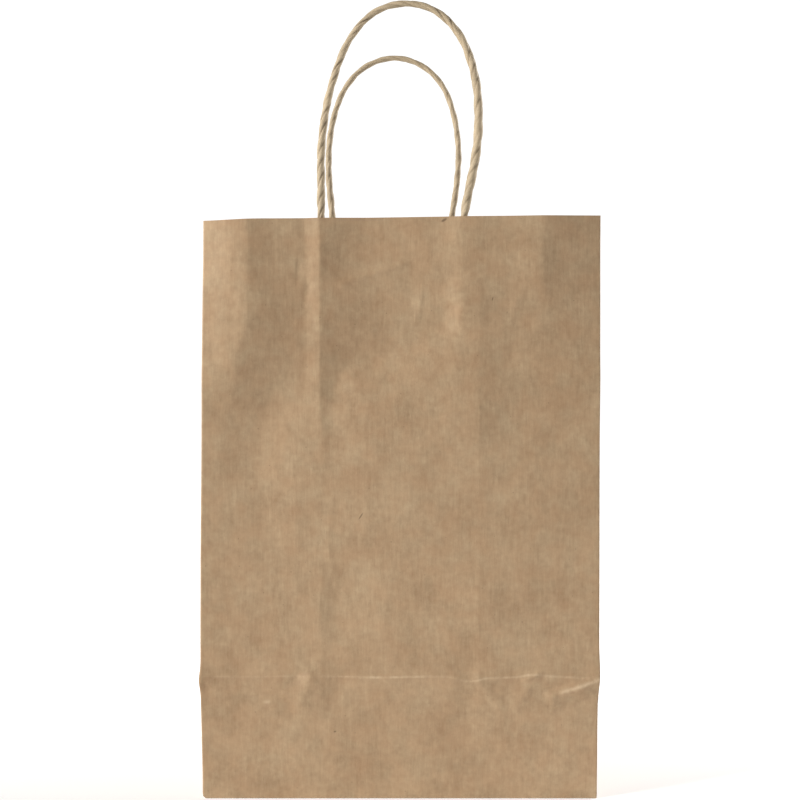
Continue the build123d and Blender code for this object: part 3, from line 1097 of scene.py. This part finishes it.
def studio_surface():
    """Matt white below and round the bag. It glows more towards the back, where the white has to be even."""
    shader = Shader("studio_pale")
    back = shader.node("ShaderNodeSeparateXYZ", "Y", {"Vector": shader.coordinates()})
    height = shader.node("ShaderNodeSeparateXYZ", "Z", {"Vector": shader.coordinates()})
    upright = shader.ramp(height, 0.0, 0.5)
    floor_glow = shader.ramp(back, -0.25, 0.05, 0.0, 0.55)
    wall_glow = shader.ramp(back, -3.0, 0.6, 0.45, 1.0)
    low = shader.maths("MULTIPLY", floor_glow, shader.maths("SUBTRACT", 1.0, upright))
    shader.feed(shader.surface, {
        "Base Color": shader.mix(upright, FLOOR_GREY, BACKDROP_GREY),
        "Roughness": 0.9,
        "Specular IOR Level": 0.1,
        "Emission Color": WHITE,
        "Emission Strength": shader.maths("ADD", low, shader.maths("MULTIPLY", wall_glow, upright)),
    })
    return shader.material


def add_to_scene(name, data, place, target):
    """A light or camera at a place, looking at a target."""
    thing = bpy.data.objects.new(name, data)
    bpy.context.scene.collection.objects.link(thing)
    thing.location = place
    thing.rotation_mode = "QUATERNION"
    thing.rotation_quaternion = (Vector(target) - Vector(place)).to_track_quat("-Z", "Y")
    return thing


def add_area_light(name, place, size, power, colour):
    """A square soft light that looks at the middle of the bag."""
    data = bpy.data.lights.new(name, "AREA")
    data.shape = "RECTANGLE"
    data.size = data.size_y = size
    data.energy = power
    data.color = colour
    add_to_scene(name, data, place, BAG_MIDDLE)


def make_lights(stage):
    """The key light at the left, the fill at the right rear and the even light from all round."""
    add_area_light("key_light", KEY_PLACE, 0.5, stage.key_power, (1.0, 0.985, 0.96))
    add_area_light("rear_fill", FILL_PLACE, 0.4, stage.fill_power, (1.0, 1.0, 1.0))
    world = bpy.data.worlds.new("studio_world")
    world.use_nodes = True
    background = world.node_tree.nodes["Background"]
    background.inputs["Color"].default_value = WHITE
    background.inputs["Strength"].default_value = stage.surround
    bpy.context.scene.world = world


def make_camera(stage):
    """The camera in front of the bag, tilted slightly down."""
    data = bpy.data.cameras.new("camera")
    data.lens = stage.camera_lens
    data.sensor_width = 36.0
    place = Vector((CAMERA_SIDE, -stage.camera_distance, stage.camera_height))
    ahead = Vector((0.0, math.cos(stage.camera_tilt), -math.sin(stage.camera_tilt)))
    bpy.context.scene.camera = add_to_scene("camera", data, place, place + ahead)


# === Operators ============================================================================================
class GIFTBAG_OT_walls(bpy.types.Operator):
    """Build the front and back walls, with the glued overlap inside the back one"""

    bl_idname = "gift_bag.walls"
    bl_label = "Build Walls"

    def execute(self, context):
        for end in END_NAMES:
            make_wall(end)
        make_seam()
        return {"FINISHED"}


class GIFTBAG_OT_gussets(bpy.types.Operator):
    """Build both gussets, each in two halves that meet at its middle crease"""

    bl_idname = "gift_bag.gussets"
    bl_label = "Build Gussets"

    def execute(self, context):
        for side in SIDE_NAMES:
            for end in END_NAMES:
                make_gusset_half(side, end)
        return {"FINISHED"}


class GIFTBAG_OT_bottom(bpy.types.Operator):
    """Build the block bottom: two flaps and the gussets' tucked ends"""

    bl_idname = "gift_bag.bottom"
    bl_label = "Build Bottom"

    def execute(self, context):
        for end in END_NAMES:
            make_bottom_flap(end)
        for side in SIDE_NAMES:
            make_tuck(side)
        return {"FINISHED"}


class GIFTBAG_OT_patches(bpy.types.Operator):
    """Build the patches that hold the handles' ends"""

    bl_idname = "gift_bag.patches"
    bl_label = "Build Patches"

    def execute(self, context):
        for end in END_NAMES:
            make_patch(end)
        return {"FINISHED"}


class GIFTBAG_OT_handles(bpy.types.Operator):
    """Build the two twisted paper handles"""

    bl_idname = "gift_bag.handles"
    bl_label = "Build Handles"

    def execute(self, context):
        for end in END_NAMES:
            make_handle(end)
        return {"FINISHED"}


class GIFTBAG_OT_stage(bpy.types.Operator):
    """Build the floor, the lights and the camera"""

    bl_idname = "gift_bag.stage"
    bl_label = "Build Stage"

    def execute(self, context):
        stage = context.scene.gift_bag_stage
        make_floor()
        make_lights(stage)
        make_camera(stage)
        context.scene.view_settings.view_transform = "Standard"
        return {"FINISHED"}


class GIFTBAG_PT_panel(bpy.types.Panel):
    """The bag's pieces and settings, in the 3D view's sidebar"""

    bl_idname = "GIFTBAG_PT_panel"
    bl_label = "Gift Bag"
    bl_space_type = "VIEW_3D"
    bl_region_type = "UI"
    bl_category = "Gift Bag"

    def draw(self, context):
        layout = self.layout
        for name in GROUPS:
            group = getattr(context.scene, name)
            box = layout.box()
            for setting in group.__annotations__:
                box.prop(group, setting)
        for operator in OPERATORS:
            layout.operator(operator.bl_idname)


OPERATORS = (
    GIFTBAG_OT_walls,
    GIFTBAG_OT_gussets,
    GIFTBAG_OT_bottom,
    GIFTBAG_OT_patches,
    GIFTBAG_OT_handles,
    GIFTBAG_OT_stage,
)
GROUPS = {
    "gift_bag_paper": GiftBagPaper,
    "gift_bag_cord": GiftBagCord,
    "gift_bag_stage": GiftBagStage,
}


def register():
    for cls in (*GROUPS.values(), *OPERATORS, GIFTBAG_PT_panel):
        bpy.utils.register_class(cls)
    for name, group in GROUPS.items():
        setattr(bpy.types.Scene, name, bpy.props.PointerProperty(type=group))


def unregister():
    for name in GROUPS:
        delattr(bpy.types.Scene, name)
    for cls in reversed((*GROUPS.values(), *OPERATORS, GIFTBAG_PT_panel)):
        bpy.utils.unregister_class(cls)


def main():
    register()
    bpy.ops.gift_bag.walls()
    bpy.ops.gift_bag.gussets()
    bpy.ops.gift_bag.bottom()
    bpy.ops.gift_bag.patches()
    bpy.ops.gift_bag.handles()
    bpy.ops.gift_bag.stage()


if __name__ == "__main__":
    main()
